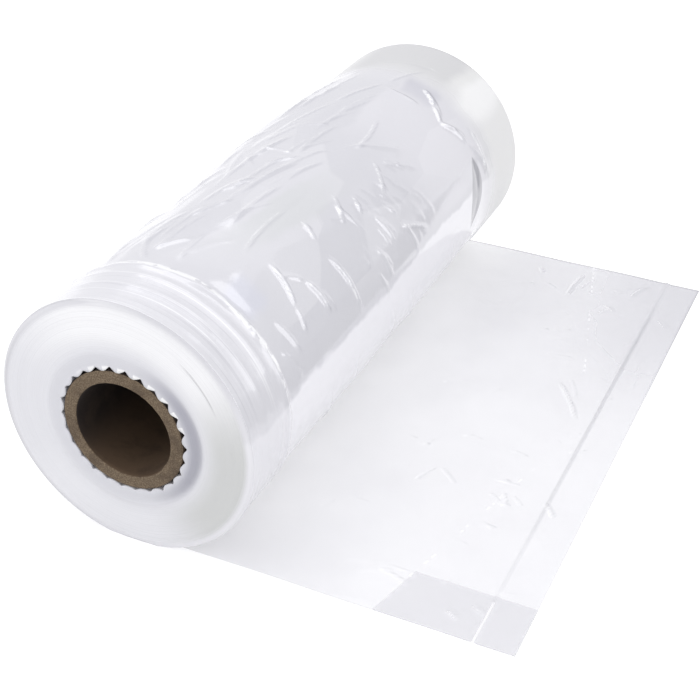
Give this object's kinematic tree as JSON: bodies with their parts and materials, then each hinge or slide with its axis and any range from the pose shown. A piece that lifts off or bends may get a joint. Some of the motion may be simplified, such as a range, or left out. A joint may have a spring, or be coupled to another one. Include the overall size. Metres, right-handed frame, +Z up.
{
  "type": "roll of clear plastic garment bags",
  "caption": "Roll of thin clear gusseted film bags wound on a paperboard core, with the first bag pulled out flat along the table.",
  "frame": {"origin": "centre of the core's bore, halfway along the roll", "axes": "+Y along the roll's axis, +Z up from the table, +X the way the first bag is pulled out"},
  "size_m": [0.3929, 0.5399, 0.1995],
  "materials": {
    "core_board": "speckled brown spiral-wound board, darker inside",
    "wound_film": "glossy milky film, many layers deep",
    "loose_film": "clear glossy film, two layers, four at the gusseted sides"
  },
  "bodies": {
    "root": {"core": "core_board", "wound_bags": "wound_film", "leading_bag": "loose_film"}
  },
  "joints": []
}
